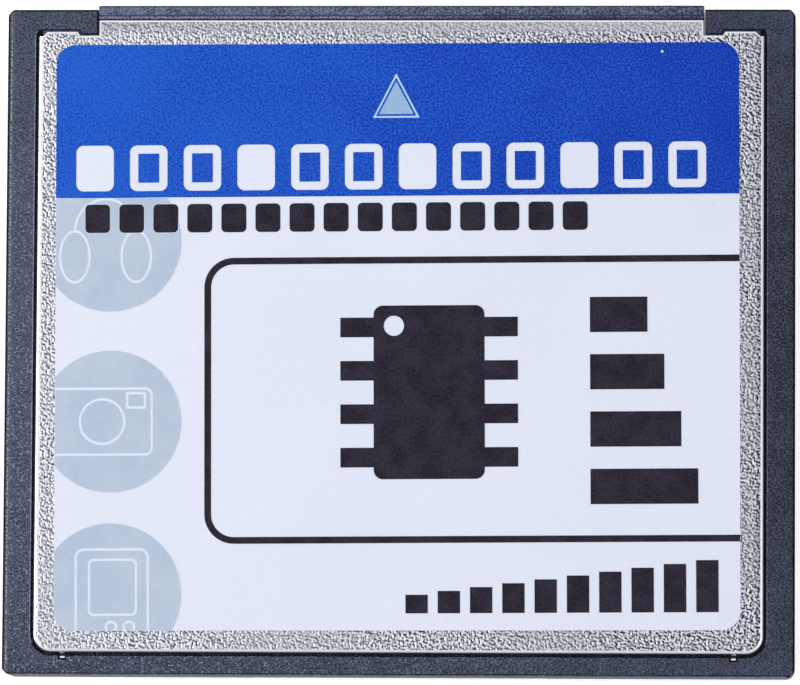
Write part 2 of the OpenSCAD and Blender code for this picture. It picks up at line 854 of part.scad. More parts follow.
// Side view of one contact, about the middle line of its socket
module contact_outline() {
  root_y = face_y - socket_l;
  fork_y = root_y + fork_l;
  arm_y = face_y - tip_y;
  grip_y = arm_y - flare_l;
  wide = socket_w / 2 - fork_gap;
  grip = grip_w / 2;
  half = root_t / 2;
  foot = board_high_z - seam_z - row_gap / 2;
  out_y = conn_rear_y - root_gap;
  step_y = board_front_y - tail_t;
  field(board_front_y - root_gap, -half, root_y, half);
  field(root_y, -wide, fork_y, wide);
  for (side = [0, 1])
    mirror([0, side])
      polygon([
        [fork_y, wide], [grip_y, grip + arm_t], [arm_y, wide],
        [arm_y, wide - arm_t], [grip_y, grip], [fork_y, wide - arm_t]
      ]);
  polygon([
    [out_y, half], [board_front_y - root_gap, half],
    [step_y - tail_t, foot + tail_t], [tails_y, foot + tail_t],
    [tails_y, foot], [step_y, foot],
    [board_front_y + root_gap, -half], [out_y, -half]
  ]);
}

module contact_row() {
  for (x = spread(row_count, pitch))
    along_x(x - contact_w / 2, x + contact_w / 2)
      translate([0, seam_z + row_gap / 2])
        contact_outline();
}

module upper_contacts() {
  color([0.83, 0.68, 0.36])
    contact_row();
}

module lower_contacts() {
  color([0.83, 0.68, 0.36])
    upper_side()
      contact_row();
}

module board_outline() {
  difference() {
    field(-board_x, board_rear_y, board_x, board_front_y);
    for (side = [-1, 1]) {
      translate([side * board_x, rear_y + notch_y])
        square([2 * notch_d, notch_l], center = true);
      translate([side * (shelf_x - tooling_d), board_front_y - tooling_d])
        circle(d = tooling_d);
    }
  }
}

module circuit_board() {
  color([0.1, 0.36, 0.2])
    translate([0, 0, board_low_z])
      linear_extrude(board_t)
        board_outline();
}

// Side view of a moulded chip body that is w wide and t thick
module chip_section(w, t) {
  a = w / 2;
  d = chip_draft;
  b = (lead_t + root_gap) / 2;
  polygon([
    [-a + d, 0], [a - d, 0], [a, t / 2 - b], [a, t / 2 + b],
    [a - d, t], [-a + d, t], [-a, t / 2 + b], [-a, t / 2 - b]
  ]);
}

// Moulded chip body, w across and l along Y, with the dimple at its first lead
module chip_body(w, l, t, dimple) {
  difference() {
    intersection() {
      along_y(-l / 2, l / 2)
        chip_section(w, t);
      along_x(-w / 2, w / 2)
        chip_section(l, t);
    }
    translate([-w / 2 + 2 * dimple, l / 2 - 2 * dimple, t - dimple_depth])
      cylinder(h = over, d = dimple);
  }
}

// Row of bent leads that leave a body at height rise and stand on the board
module lead_row(n, step, w, reach, rise) {
  knee = reach - foot_l - lead_t;
  for (x = spread(n, step))
    along_x(x - w / 2, x + w / 2)
      polygon([
        [0, rise - lead_t / 2], [knee, rise - lead_t / 2], [reach - foot_l, 0], [reach, 0],
        [reach, lead_t], [reach - foot_l + lead_t, lead_t], [knee + lead_t, rise + lead_t / 2],
        [0, rise + lead_t / 2]
      ]);
}

chip_rise = chip_lift + chip_t / 2;

module flash_body() {
  translate([0, 0, chip_lift])
    chip_body(flash_w, flash_l, chip_t, flash_dimple);
}

// Leads that fit along a side that is w wide, clear of its corners
function lead_count(w, corner) = floor((w - 2 * corner - lead_w) / lead_pitch) + 1;

// Rows of leads at both ends of a chip that is w wide and l long
module end_rows(w, l, corner, reach) {
  for (side = [0, 1])
    mirror([0, side, 0])
      translate([0, l / 2, 0])
        lead_row(lead_count(w, corner), lead_pitch, lead_w, reach, chip_rise);
}

module flash_lead_rows() {
  end_rows(flash_w, flash_l, flash_corner, flash_reach);
}

module at_front_flash() {
  on_front()
    translate([front_flash_x, front_flash_y, 0])
      children();
}

module at_back_flash() {
  on_back()
    translate([back_flash_x, back_flash_y, 0])
      rotate([0, 0, 90])
        children();
}

module front_flash_body() {
  color([0.12, 0.12, 0.13])
    at_front_flash()
      flash_body();
}

module front_flash_leads() {
  color([0.75, 0.75, 0.76])
    at_front_flash()
      flash_lead_rows();
}

module back_flash_body() {
  color([0.12, 0.12, 0.13])
    at_back_flash()
      flash_body();
}

module back_flash_leads() {
  color([0.75, 0.75, 0.76])
    at_back_flash()
      flash_lead_rows();
}

module controller_body() {
  color([0.13, 0.13, 0.14])
    on_front()
      translate([control_x, control_y, chip_lift])
        chip_body(control_w, control_l, chip_t, control_dimple);
}

module controller_leads() {
  color([0.75, 0.75, 0.76])
    on_front()
      translate([control_x, control_y, 0]) {
        end_rows(control_w, control_l, control_corner, control_reach);
        rotate([0, 0, 90])
          end_rows(control_l, control_w, control_corner, control_reach);
      }
}

// The oscillator stands in the narrow column beside the controller
module at_oscillator() {
  on_front()
    translate([column_x + osc_w / 2, control_y - control_l / 2 + osc_l / 2, 0])
      children();
}

module oscillator_base() {
  color([0.55, 0.5, 0.42])
    at_oscillator()
      translate([-osc_w / 2, -osc_l / 2, 0])
        cube([osc_w, osc_l, osc_t]);
}

module oscillator_lid() {
  x = osc_w / 2 - osc_rim;
  y = osc_l / 2 - osc_rim;
  color([0.8, 0.78, 0.7])
    at_oscillator()
      translate([0, 0, osc_t])
        linear_extrude(osc_lid_t)
          round_field(-x, -y, x, y, osc_lid_r);
}

module at_regulator() {
  on_back()
    translate([back_column_x, back_flash_y + flash_w / 2 - reg_w / 2 - reg_reach, 0])
      children();
}

module regulator_body() {
  color([0.12, 0.12, 0.13])
    at_regulator()
      translate([0, 0, chip_lift])
        chip_body(reg_l, reg_w, reg_t, reg_dimple);
}

module regulator_leads() {
  rise = chip_lift + reg_t / 2;
  reg_foot = foot_l / 2;
  color([0.75, 0.75, 0.76])
    at_regulator() {
      translate([0, reg_w / 2, 0])
        lead_row(2, 2 * reg_pitch, reg_lead_w, reg_reach, rise);
      mirror([0, 1, 0])
        translate([0, reg_w / 2, 0])
          lead_row(3, reg_pitch, reg_lead_w, reg_reach, rise);
    }
}

// Body of a small part between its two metal ends, l along X
module part_middle(l, w, t) {
  translate([-l / 2 + end_l, -w / 2, 0])
    cube([l - 2 * end_l, w, t]);
}

module part_ends(l, w, t) {
  for (side = [-1, 1])
    translate([side * (l - end_l) / 2 - end_l / 2, -w / 2, 0])
      cube([end_l, w, t]);
}

// Two tantalum capacitors on the back, rearwards of the regulator
module at_tantalums() {
  for (i = [0, 1])
    on_back()
      translate([back_column_x, chips_y + tant_w / 2 + i * (tant_w + part_gap), 0])
        children();
}

module tantalum_capacitors() {
  color([0.85, 0.62, 0.2])
    at_tantalums()
      part_middle(tant_l, tant_w, tant_t);
}

module tantalum_terminals() {
  color([0.75, 0.75, 0.76])
    at_tantalums()
      part_ends(tant_l, tant_end_w, tant_end_t);
}

// Ceramic capacitors stand in front of the chips, and between the flash chip and the controller
module at_capacitors() {
  between_x = front_flash_x + flash_w / 2 + part_gap + cap_w / 2;
  on_front() {
    for (x = spread(front_cap_count, cap_l + 2 * part_gap))
      translate([x, caps_y, 0])
        rotate([0, 0, 90])
          children();
    for (y = spread(middle_cap_count, cap_l + 3 * part_gap))
      translate([between_x, control_y + y, 0])
        rotate([0, 0, 90])
          children();
  }
  on_back()
    for (x = spread(back_cap_count, cap_l + 2 * part_gap))
      translate([back_flash_x + x, back_caps_y, 0])
        rotate([0, 0, 90])
          children();
}

module ceramic_capacitors() {
  color([0.66, 0.52, 0.36])
    at_capacitors()
      part_middle(cap_l, cap_w, cap_t);
}

module ceramic_capacitor_ends() {
  color([0.78, 0.78, 0.79])
    at_capacitors()
      part_ends(cap_l, cap_w, cap_t);
}

// Chip resistors at the two ends of the row of capacitors
module at_resistors() {
  first_x = (front_cap_count + 1) / 2 * (cap_l + 2 * part_gap);
  on_front()
    for (side = [-1, 1], i = [0:1])
      translate([side * (first_x + i * (cap_w + part_gap)), caps_y, 0])
        rotate([0, 0, 90])
          children();
}

module chip_resistors() {
  color([0.1, 0.1, 0.11])
    at_resistors()
      part_middle(cap_l, cap_w, res_t);
}

module chip_resistor_ends() {
  color([0.78, 0.78, 0.79])
    at_resistors()
      part_ends(cap_l, cap_w, res_t);
}

// Resistor networks in a row behind the contact tails, on both faces of the board
module at_networks() {
  for (x = spread(net_count, net_l + part_gap)) {
    on_front()
      translate([x, nets_y, 0])
        children();
    on_back()
      translate([x, nets_y, 0])
        children();
  }
}

module resistor_networks() {
  color([0.1, 0.1, 0.11])
    at_networks()
      translate([-net_l / 2, -net_w / 2 + end_l, 0])
        cube([net_l, net_w - 2 * end_l, net_t]);
}

// Metal ends along both long sides of a network
module resistor_network_ends() {
  step = net_l / net_end_count;
  color([0.78, 0.78, 0.79])
    at_networks()
      for (x = spread(net_end_count, step), side = [-1, 1])
        translate([x - step / 3, side * (net_w - end_l) / 2 - end_l / 2, 0])
          cube([step * 2 / 3, end_l, net_t]);
}

// Places on the label: its own middle, and the print's slight turn on it
module on_label(z, turn) {
  translate([label_x, label_y, z])
    rotate([0, 0, label_turn + turn])
      children();
}

module label_outline() {
  round_field(-label_w / 2, -label_l / 2, label_w / 2, label_l / 2, label_r);
}

// Ink of a flat print, kept inside the label
module ink() {
  on_label(ink_z, 0)
    linear_extrude(ink_t)
      intersection() {
        label_outline();
        rotate(print_turn)
          children();
      }
}

module label_film() {
  color([0.89, 0.91, 0.97])
    on_label(label_z, 0)
      linear_extrude(label_t)
        label_outline();
}

// Triangle of the arrow, drawn in by a distance on all its sides
module arrow_shape(draw_in) {
  side = sqrt(arrow_w * arrow_w / 4 + arrow_h * arrow_h);
  inner_r = arrow_w * arrow_h / (arrow_w + 2 * side);
  share = (inner_r - draw_in) / inner_r;
  translate([0, arrow_y + inner_r])
    polygon([
      [-arrow_w / 2 * share, -inner_r * share], [arrow_w / 2 * share, -inner_r * share],
      [0, (arrow_h - inner_r) * share]
    ]);
}

// The open line inside the arrow's edge
module arrow_rule() {
  difference() {
    arrow_shape(arrow_line);
    arrow_shape(2 * arrow_line);
  }
}

// Row of blocks left white in the blue band, each third one solid
module white_blocks() {
  for (i = [0:block_count - 1])
    translate([block_x + i * block_step, band_y + block_lift])
      if (i % 3 == 0)
        round_field(0, 0, block_w, block_l, block_r);
      else
        round_line(0, 0, block_w, block_l, block_r, block_line);
}

module print_blue_field() {
  color([0.14, 0.32, 0.76])
    ink() {
      difference() {
        field(-label_w, band_y, label_w, label_l);
        arrow_shape(0);
        white_blocks();
      }
      arrow_rule();
    }
}

module print_arrow() {
  color([0.6, 0.73, 0.87])
    ink()
      difference() {
        arrow_shape(0);
        arrow_rule();
      }
}

// Fine line of an ellipse
module ellipse_line(rx, ry) {
  difference() {
    scale([rx, ry])
      circle(1);
    scale([rx - fine_line, ry - fine_line])
      circle(1);
  }
}

// Headphones: two ear pads and the band over the head
module headphones_figure() {
  pad = [0.223, 0.376] * disc_r;
  pad_x = 0.433 * disc_r;
  pad_y = -0.22 * disc_r;
  band_h = 0.453 * disc_r;
  left = 0.073 * disc_r;
  translate([-left, 0]) {
    for (side = [-1, 1])
      translate([side * pad_x, pad_y])
        ellipse_line(pad.x, pad.y);
    translate([0, pad_y + pad.y - fine_line])
      difference() {
        ellipse_line(pad_x + fine_line / 2, band_h + fine_line);
        field(-2 * pad_x, -2 * pad_x, 2 * pad_x, 0);
      }
  }
}

// Fine line of a circle
module ring_line(r) {
  difference() {
    circle(r);
    circle(r - fine_line);
  }
}

// Camera: body that runs to the label's edge, lens and viewfinder
module camera_figure() {
  body = [-1.036, -0.479, 0.596, 0.479] * disc_r;
  body_r = 0.117 * disc_r;
  finder = [0.22, 0.181, 0.5, 0.415] * disc_r;
  finder_r = 0.013 * disc_r;
  lens_r = 0.329 * disc_r;
  lens_x = -0.117 * disc_r;
  round_line(body[0], body[1], body[2], body[3], body_r, fine_line);
  round_line(finder[0], finder[1], finder[2], finder[3], finder_r, fine_line);
  translate([lens_x, 0])
    ring_line(lens_r);
}

// Hand-held player: case that runs off the label, screen and two keys
module player_figure() {
  case = [-0.5, -0.777, 0.544, 0.648] * disc_r;
  case_r = 0.13 * disc_r;
  screen = [-0.311, -0.298, 0.376, 0.505] * disc_r;
  screen_r = 0.078 * disc_r;
  key_r = 0.088 * disc_r;
  round_line(case[0], case[1], case[2], case[3], case_r, fine_line);
  round_line(screen[0], screen[1], screen[2], screen[3], screen_r, fine_line);
  for (key = [[0.013, -0.453], [0.264, -0.453]])
    translate(key * disc_r)
      ring_line(key_r);
}

module print_discs() {
  color([0.73, 0.8, 0.88])
    ink()
      difference() {
        for (y = disc_y)
          translate([-disc_x, y])
            circle(disc_r);
        field(-label_w, band_y, label_w, label_l);
        dashes();
        translate([-disc_x, disc_y[0]])
          headphones_figure();
        translate([-disc_x, disc_y[1]])
          camera_figure();
        translate([-disc_x, disc_y[2]])
          player_figure();
      }
}

// The box is open to the right, where its line runs off the label
module print_box_line() {
  color([0.18, 0.18, 0.22])
    ink()
      round_line(-box_x, box_rear_y, label_w, box_front_y, box_r, box_line);
}

// Row of dashes under the blue band
module dashes() {
  for (i = [0:dash_count - 1])
    translate([dash_x + i * dash_step, dash_y])
      round_field(0, 0, dash_w, dash_l, dash_r);
}

// Picture of a chip: body with a light mark at one corner, and four pins on each side
module chip_figure() {
  w = chip_figure_w / 2;
  l = chip_figure_l / 2;
  difference() {
    round_field(-w, -l, w, l, chip_figure_r);
    translate([-w + 2 * chip_mark_r, l - 2 * chip_mark_r])
      circle(chip_mark_r);
  }
  step = chip_figure_l / 4;
  for (y = spread(4, step), side = [-1, 1])
    translate([side * (w + chip_pin_l / 2), y])
      square([chip_pin_l, chip_pin_share * step], center = true);
}

// Column of bars, each shorter than the last
module bar_figure() {
  for (i = [0:bar_count - 1])
    translate([0, i * bar_step])
      field(0, 0, bar_w - i * bar_less, bar_l);
}

// Row of bars that grow to the right
module ramp_figure() {
  for (i = [0:ramp_count - 1])
    translate([i * ramp_step, 0])
      field(0, 0, ramp_bar_w, ramp_l + i * ramp_more);
}

module print_dark_marks() {
  color([0.18, 0.18, 0.22])
    ink() {
      dashes();
      translate([chip_figure_x, chip_figure_y])
        chip_figure();
      translate([label_w / 2 - bar_side, box_rear_y + bar_rear])
        bar_figure();
      translate([label_w / 2 - ramp_side, ramp_rear - label_l / 2])
        ramp_figure();
    }
}

upper_frame();
lower_frame();
top_panel();
bottom_panel();
connector_housing();
upper_contacts();
lower_contacts();
circuit_board();
controller_body();
controller_leads();
front_flash_body();
front_flash_leads();
back_flash_body();
back_flash_leads();
oscillator_base();
oscillator_lid();
regulator_body();
regulator_leads();
tantalum_capacitors();
tantalum_terminals();
ceramic_capacitors();
ceramic_capacitor_ends();
chip_resistors();
chip_resistor_ends();
resistor_networks();
resistor_network_ends();
label_film();
print_blue_field();
print_arrow();
print_discs();
print_box_line();
print_dark_marks();
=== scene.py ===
import json
from math import radians

import bmesh
import bpy
from mathutils import Matrix, Vector


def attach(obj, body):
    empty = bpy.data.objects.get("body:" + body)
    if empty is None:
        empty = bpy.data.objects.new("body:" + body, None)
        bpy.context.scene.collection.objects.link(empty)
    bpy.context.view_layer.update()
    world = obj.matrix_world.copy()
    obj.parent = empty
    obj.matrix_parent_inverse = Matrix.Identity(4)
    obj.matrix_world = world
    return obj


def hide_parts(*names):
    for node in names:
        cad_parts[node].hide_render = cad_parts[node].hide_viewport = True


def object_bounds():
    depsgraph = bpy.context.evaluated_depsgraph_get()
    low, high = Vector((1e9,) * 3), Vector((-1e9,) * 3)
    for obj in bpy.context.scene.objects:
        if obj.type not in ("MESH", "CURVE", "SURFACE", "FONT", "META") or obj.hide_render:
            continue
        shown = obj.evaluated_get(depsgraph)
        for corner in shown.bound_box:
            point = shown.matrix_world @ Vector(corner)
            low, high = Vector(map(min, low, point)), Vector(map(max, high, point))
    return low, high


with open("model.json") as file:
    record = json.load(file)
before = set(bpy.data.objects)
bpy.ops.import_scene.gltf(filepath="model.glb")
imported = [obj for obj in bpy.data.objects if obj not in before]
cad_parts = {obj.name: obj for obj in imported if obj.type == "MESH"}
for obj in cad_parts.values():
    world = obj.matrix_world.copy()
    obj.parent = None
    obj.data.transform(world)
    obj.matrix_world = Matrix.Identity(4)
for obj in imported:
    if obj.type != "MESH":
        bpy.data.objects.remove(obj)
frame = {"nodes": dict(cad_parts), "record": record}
nodes = frame["nodes"]
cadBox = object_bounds()
mm = 0.001
halfWidth, halfLength, cardTop = (far / mm for far in cadBox[1])    # of the card
tight, loose = 0.004, 0.01              # mm, for finding faces and edges by their place
sameCorner, onCutPlane = 0.0002, 0.0001     # mm, corners nearer than this are one, or on the plane
floatKind, vectorKind = "NodeSocketFloat", "NodeSocketVector"
print("card loaded:", len(nodes), "pieces")


# small helpers for shader trees

def feed(tree, socket, value):
    # a socket is linked, anything else is set
    if isinstance(value, bpy.types.NodeSocket):
        tree.links.new(value, socket)
    elif socket.type == "RGBA":
        socket.default_value = (*value, 1)
    else:
        socket.default_value = value


def addNode(tree, kind, sockets=None, **settings):
    made = tree.nodes.new(kind)
    for key, value in settings.items():
        setattr(made, key, value)
    for key, value in (sockets or {}).items():
        feed(tree, made.inputs[key], value)
    return made


def doMath(tree, operation, first, second=0.0, third=0.0):
    made = addNode(tree, "ShaderNodeMath", {0: first, 1: second, 2: third}, operation=operation)
    return made.outputs[0]


def blend(tree, share, first, second):
    made = addNode(tree, "ShaderNodeMix", {0: share, 6: first, 7: second}, data_type="RGBA")
    return made.outputs[2]


def stretch(tree, value, low, high, toLow=0.0, toHigh=1.0):
    # a smooth step from one range to another
    made = addNode(tree, "ShaderNodeMapRange",
                   {0: value, 1: low, 2: high, 3: toLow, 4: toHigh}, interpolation_type="SMOOTHSTEP")
    return made.outputs[0]


def splitPlace(tree, place):
    return addNode(tree, "ShaderNodeSeparateXYZ", {0: place}).outputs


def newGroup(name, inputs, outputs):
    tree = bpy.data.node_groups.new(name, "ShaderNodeTree")
    for label, kind, value in inputs:
        socket = tree.interface.new_socket(label, in_out="INPUT", socket_type=kind)
        if value is not None:
            socket.default_value = value
    for label, kind in outputs:
        tree.interface.new_socket(label, in_out="OUTPUT", socket_type=kind)
    return tree, tree.nodes.new("NodeGroupInput").outputs, tree.nodes.new("NodeGroupOutput").inputs


def makeMottle():
    # soft uneven tone, 0 to 1, with spots of the given size in mm
    tree, given, made = newGroup("mottle", [("Place", vectorKind, None), ("Size", floatKind, 1.0)],
                                 [("Tone", floatKind)])
    scale = doMath(tree, "DIVIDE", 1.0, given["Size"])
    noise = addNode(tree, "ShaderNodeTexNoise", {"Vector": given["Place"], "Scale": scale, "Detail": 1.0})
    tree.links.new(stretch(tree, noise.outputs["Fac"], 0.3, 0.7), made["Tone"])
    return tree


def makeSpecks():
    # scattered round specks: one cell in so many holds one
    tree, given, made = newGroup("specks",
                                 [("Place", vectorKind, None), ("Spacing", floatKind, 0.5),
                                  ("Share", floatKind, 0.2), ("Radius", floatKind, 0.1)],
                                 [("Mask", floatKind)])
    smallest = 0.4                      # of the radius
    scale = doMath(tree, "DIVIDE", 1.0, given["Spacing"])
    cells = addNode(tree, "ShaderNodeTexVoronoi", {"Vector": given["Place"], "Scale": scale})
    pick = addNode(tree, "ShaderNodeSeparateColor", {0: cells.outputs["Color"]})
    chosen = doMath(tree, "LESS_THAN", pick.outputs[0], given["Share"])
    reach = doMath(tree, "MULTIPLY", given["Radius"], scale)
    size = doMath(tree, "MULTIPLY", reach, doMath(tree, "ADD", pick.outputs[1], smallest))
    near = doMath(tree, "SUBTRACT", 1.0, doMath(tree, "DIVIDE", cells.outputs["Distance"], size))
    tree.links.new(doMath(tree, "MULTIPLY", chosen, stretch(tree, near, 0.0, 0.5)), made["Mask"])
    return tree


embossing = {
    "waves": 0.9,                       # of one stroke
    "turned": 35,                       # degrees
    "heightRange": (0.15, 0.85),        # part of the noise that makes the relief
    "paintedShadeRange": (0.34, 0.66),          # and the painted shade and highlight of it
}


def makeEmbossed(look):
    # leather-like emboss of rolled sheet: short strokes that mostly lean one way, as relief and as painted
    # shade in the hollows and painted highlight on the ridges
    tree, given, made = newGroup("embossedSheet",
                                 [("Place", vectorKind, None), ("Size", floatKind, 0.2),
                                  ("Lean", floatKind, 0.3)],
                                 [("Height", floatKind), ("Tone", floatKind)])
    scale = doMath(tree, "DIVIDE", 1.0, given["Size"])
    strokes = addNode(tree, "ShaderNodeTexGabor",
                      {"Vector": given["Place"], "Scale": scale, "Frequency": look["waves"],
                       "Anisotropy": given["Lean"], 4: radians(look["turned"])}, gabor_type="2D")
    tree.links.new(stretch(tree, strokes.outputs["Value"], *look["heightRange"]), made["Height"])
    tree.links.new(stretch(tree, strokes.outputs["Value"], *look["paintedShadeRange"]), made["Tone"])
    return tree


mottle, specks, embossed = makeMottle(), makeSpecks(), makeEmbossed(embossing)


def useGroup(tree, group, sockets):
    made = addNode(tree, "ShaderNodeGroup", node_tree=group)
    for key, value in sockets.items():
        feed(tree, made.inputs[key], value)
    return made.outputs


def startMaterial(name):
    # returns the tree, the shader and the place on the piece in millimetres
    material = bpy.data.materials.new(name)
    material.use_nodes = True
    tree = material.node_tree
    shader = next(n for n in tree.nodes if n.type == "BSDF_PRINCIPLED")
    place = addNode(tree, "ShaderNodeTexCoord")
    inMm = addNode(tree, "ShaderNodeMapping",
                   {"Vector": place.outputs["Object"], "Scale": (1 / mm, 1 / mm, 1 / mm)})
    return material, tree, shader, inMm.outputs[0]


def addBump(tree, shader, height, depth):
    # depth in mm
    bump = addNode(tree, "ShaderNodeBump", {"Height": height, "Distance": depth * mm, "Strength": 1.0})
    tree.links.new(bump.outputs[0], shader.inputs["Normal"])


def addSpecks(tree, look, place, parts, colour):
    # light specks, made fainter towards the right and the front along with the painted light
    mask = useGroup(tree, specks, {"Place": place, "Spacing": look["speckSpacing"],
                                   "Share": look["speckShare"], "Radius": look["speckRadius"]})["Mask"]
    fading = 2.4                        # times the painted light falloff
    evenUpTo = 3.0                      # mm from the middle towards the front
    left = stretch(tree, parts[0], halfWidth, -halfWidth, 1.0 - fading * look.get("paintedLightDrift", 0.0), 1.0)
    rear = stretch(tree, parts[1], halfLength, evenUpTo, 1.0 - look.get("paintedLightFade", 0.0), 1.0)
    share = doMath(tree, "MULTIPLY", mask, doMath(tree, "MULTIPLY", left, rear))
    return blend(tree, share, colour, look["speckColour"])


def addLine(tree, line, parts, fine, colour):
    # a line along an edge, soft at its sides and broken into dots by the grain; the light ones are painted
    # highlights
    soft, grainStep = line["half"] / 2, 0.2
    off = doMath(tree, "ABSOLUTE", doMath(tree, "SUBTRACT", parts[line["axis"]], line["at"]))
    band = doMath(tree, "MULTIPLY", stretch(tree, off, line["half"] + soft, line["half"] - soft),
                  stretch(tree, fine, line["from"], line["from"] + grainStep))
    if "fadeFrom" in line:
        band = doMath(tree, "MULTIPLY", band, stretch(tree, parts[0], line["fadeTo"], line["fadeFrom"]))
    return blend(tree, doMath(tree, "MULTIPLY", band, line["share"]), colour, line["colour"])


def makeFinish(name, look):
    # two tones blended by soft spots, fine grain and painted light falling off from left to right, all sizes
    # in mm
    material, tree, shader, place = startMaterial(name)
    parts = splitPlace(tree, place)
    spots = useGroup(tree, mottle, {"Place": place, "Size": look["spot"]})["Tone"]
    fine = useGroup(tree, mottle, {"Place": place, "Size": look["grain"]})["Tone"]
    # the painted light falloff is strongest at half length and fades towards both ends
    fade = doMath(tree, "MULTIPLY_ADD", doMath(tree, "MULTIPLY", parts[1], parts[1]),
                  -look.get("paintedLightFade", 0.0) / halfLength ** 2, 1.0)
    toneWithPaintedLight = doMath(tree, "MULTIPLY_ADD", doMath(tree, "MULTIPLY", parts[0], fade),
                      -look.get("paintedLightDrift", 0.0) / halfWidth, 0.5)
    # painted light: the grain stands out less towards the right
    grainShare = doMath(tree, "MULTIPLY_ADD", parts[0],
                        -look.get("grainPaintedLightDrift", 0.0) / halfWidth, look["grainShare"])
    tone = doMath(tree, "MULTIPLY_ADD", doMath(tree, "SUBTRACT", spots, 0.5), look["spotShare"], toneWithPaintedLight)
    tone = doMath(tree, "MULTIPLY_ADD", doMath(tree, "SUBTRACT", fine, 0.5), grainShare, tone)
    colour = blend(tree, tone, look["dark"], look["light"])
    if look.get("speckShare"):
        colour = addSpecks(tree, look, place, parts, colour)
    for line in look.get("lines", []):
        colour = addLine(tree, line, parts, fine, colour)
    for x, y, radius in look.get("dust", []):
        apart = addNode(tree, "ShaderNodeVectorMath", {0: place, 1: (x, y, cardTop)}, operation="DISTANCE")
        dot = stretch(tree, apart.outputs["Value"], radius * 1.3, radius * 0.6)
        colour = blend(tree, dot, colour, look["dustColour"])
    feed(tree, shader.inputs["Base Color"], colour)
    rough, spread = look["rough"], look["roughSpread"]
    feed(tree, shader.inputs["Roughness"], stretch(tree, fine, 0.0, 1.0, rough - spread, rough + spread))
    shader.inputs["Metallic"].default_value = look.get("metal", 0.0)
    shader.inputs["Specular IOR Level"].default_value = look.get("specular", 0.5)
    if look.get("coat"):
        shader.inputs["Coat Weight"].default_value = look["coat"]
        shader.inputs["Coat Roughness"].default_value = look["coatRough"]
    addBump(tree, shader, fine, look["depth"])
    return material


# helpers for pieces: the kind of a face goes by how far its normal points up or down

def isLevel(face, least=0.99):
    return abs(face.normal.z) > least


def isUpright(face):
    return abs(face.normal.z) < 0.1


def isSloped(face):
    return 0.5 < abs(face.normal.z) < 0.9


def liesAt(item, height, tolerance):
    # item is a face or an edge
    return all(abs(v.co.z - height) <= tolerance for v in item.verts)


def copyNode(node):
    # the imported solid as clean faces, in millimetres, to be worked on
    bm = bmesh.new()
    bm.from_mesh(nodes[node].data)
    bmesh.ops.scale(bm, vec=(1 / mm, 1 / mm, 1 / mm), verts=bm.verts)
    bmesh.ops.remove_doubles(bm, verts=bm.verts, dist=sameCorner)
    bmesh.ops.dissolve_limit(bm, angle_limit=radians(0.5), verts=bm.verts, edges=bm.edges,
                             use_dissolve_boundaries=False)
    bmesh.ops.recalc_face_normals(bm, faces=bm.faces)
    return bm


def outermost(bm, side):
    # height of the highest or lowest corner, as side is max or min
    return side(v.co.z for v in bm.verts)


def brinkEdges(bm, height, isTop, tolerance=tight):
    # convex edges at one height where an upright face meets one of the asked kind
    found = []
    for edge in bm.edges:
        if len(edge.link_faces) == 2 and liesAt(edge, height, tolerance) and edge.is_convex:
            upright, top = sorted(edge.link_faces, key=lambda face: abs(face.normal.z))
            if isUpright(upright) and isTop(top):
                found.append(edge)
    return found


def soften(bm, edges, width, segments=2):
    made = bmesh.ops.bevel(bm, geom=edges, offset=width, offset_type="OFFSET", affect="EDGES",
                           segments=segments, profile=0.5, material=-1, clamp_overlap=False)
    return made["faces"]


def insetFlat(bm, faces, width):
    # returns the narrow faces along the rim of the given ones
    return bmesh.ops.inset_region(bm, faces=faces, thickness=width, use_even_offset=True)["faces"]


def finishPiece(bm, name, replaced, materials, smoothTo=50):
    bmesh.ops.scale(bm, vec=(mm, mm, mm), verts=bm.verts)
    mesh = bpy.data.meshes.new(name)
    bm.to_mesh(mesh)
    bm.free()
    for material in materials:
        mesh.materials.append(material)
    mesh.shade_smooth()
    mesh.set_sharp_from_angle(angle=radians(smoothTo))
    piece = bpy.data.objects.new(name, mesh)
    bpy.context.scene.collection.objects.link(piece)
    even = piece.modifiers.new("evenNormals", "WEIGHTED_NORMAL")
    even.keep_sharp = True
    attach(piece, "root")
    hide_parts(replaced)


# camera, floor and light

camera = {
    "at": (20.0, -34.5, 400.0),         # mm
    "aim": (0.0575, -0.168, 3.2),
    "roll": 0.35,                       # degrees
    "lens": 331.9,
    "sensor": 36.0,
    "clip": (0.01, 10),                 # m
}


def makeCamera(look):
    data = bpy.data.cameras.new("camera")
    data.lens, data.sensor_width = look["lens"], look["sensor"]
    data.clip_start, data.clip_end = look["clip"]
    made = bpy.data.objects.new("camera", data)
    bpy.context.scene.collection.objects.link(made)
    away = (Vector(look["at"]) - Vector(look["aim"])).normalized()
    level = Vector((0, 1, 0)).cross(away).normalized()
    upright = Matrix((level, away.cross(level), away)).transposed()
    made.rotation_euler = (upright @ Matrix.Rotation(radians(look["roll"]), 3, "Z")).to_euler()
    made.location = Vector(look["at"]) * mm
    bpy.context.scene.camera = made


makeCamera(camera)
bpy.context.scene.view_settings.view_transform = "Standard"

studio = {
    "skyTop": 0.84,                     # strength of the soft light overhead
    "skySide": 0.36,                    # and near the horizon
    "key": {"at": (-160, 20, 120), "size": 200, "power": 0.23, "colour": (1.0, 0.985, 0.96)},
    "fill": {"at": (170, -60, 150), "size": 120, "power": 0.04, "colour": (0.95, 0.97, 1.0)},
    "floorSize": 3000,
    "floorDrop": 0.02,                  # below the card, so that the faces don't touch
    "floorDark": (0.82, 0.82, 0.83),
    "floorLight": (0.84, 0.84, 0.85),
    "floorSpots": 40.0,
    "floorRough": 0.9,
    "floorSpecular": 0.1,
    "floorGlow": 0.56,                  # seen only by the camera and in reflections
}


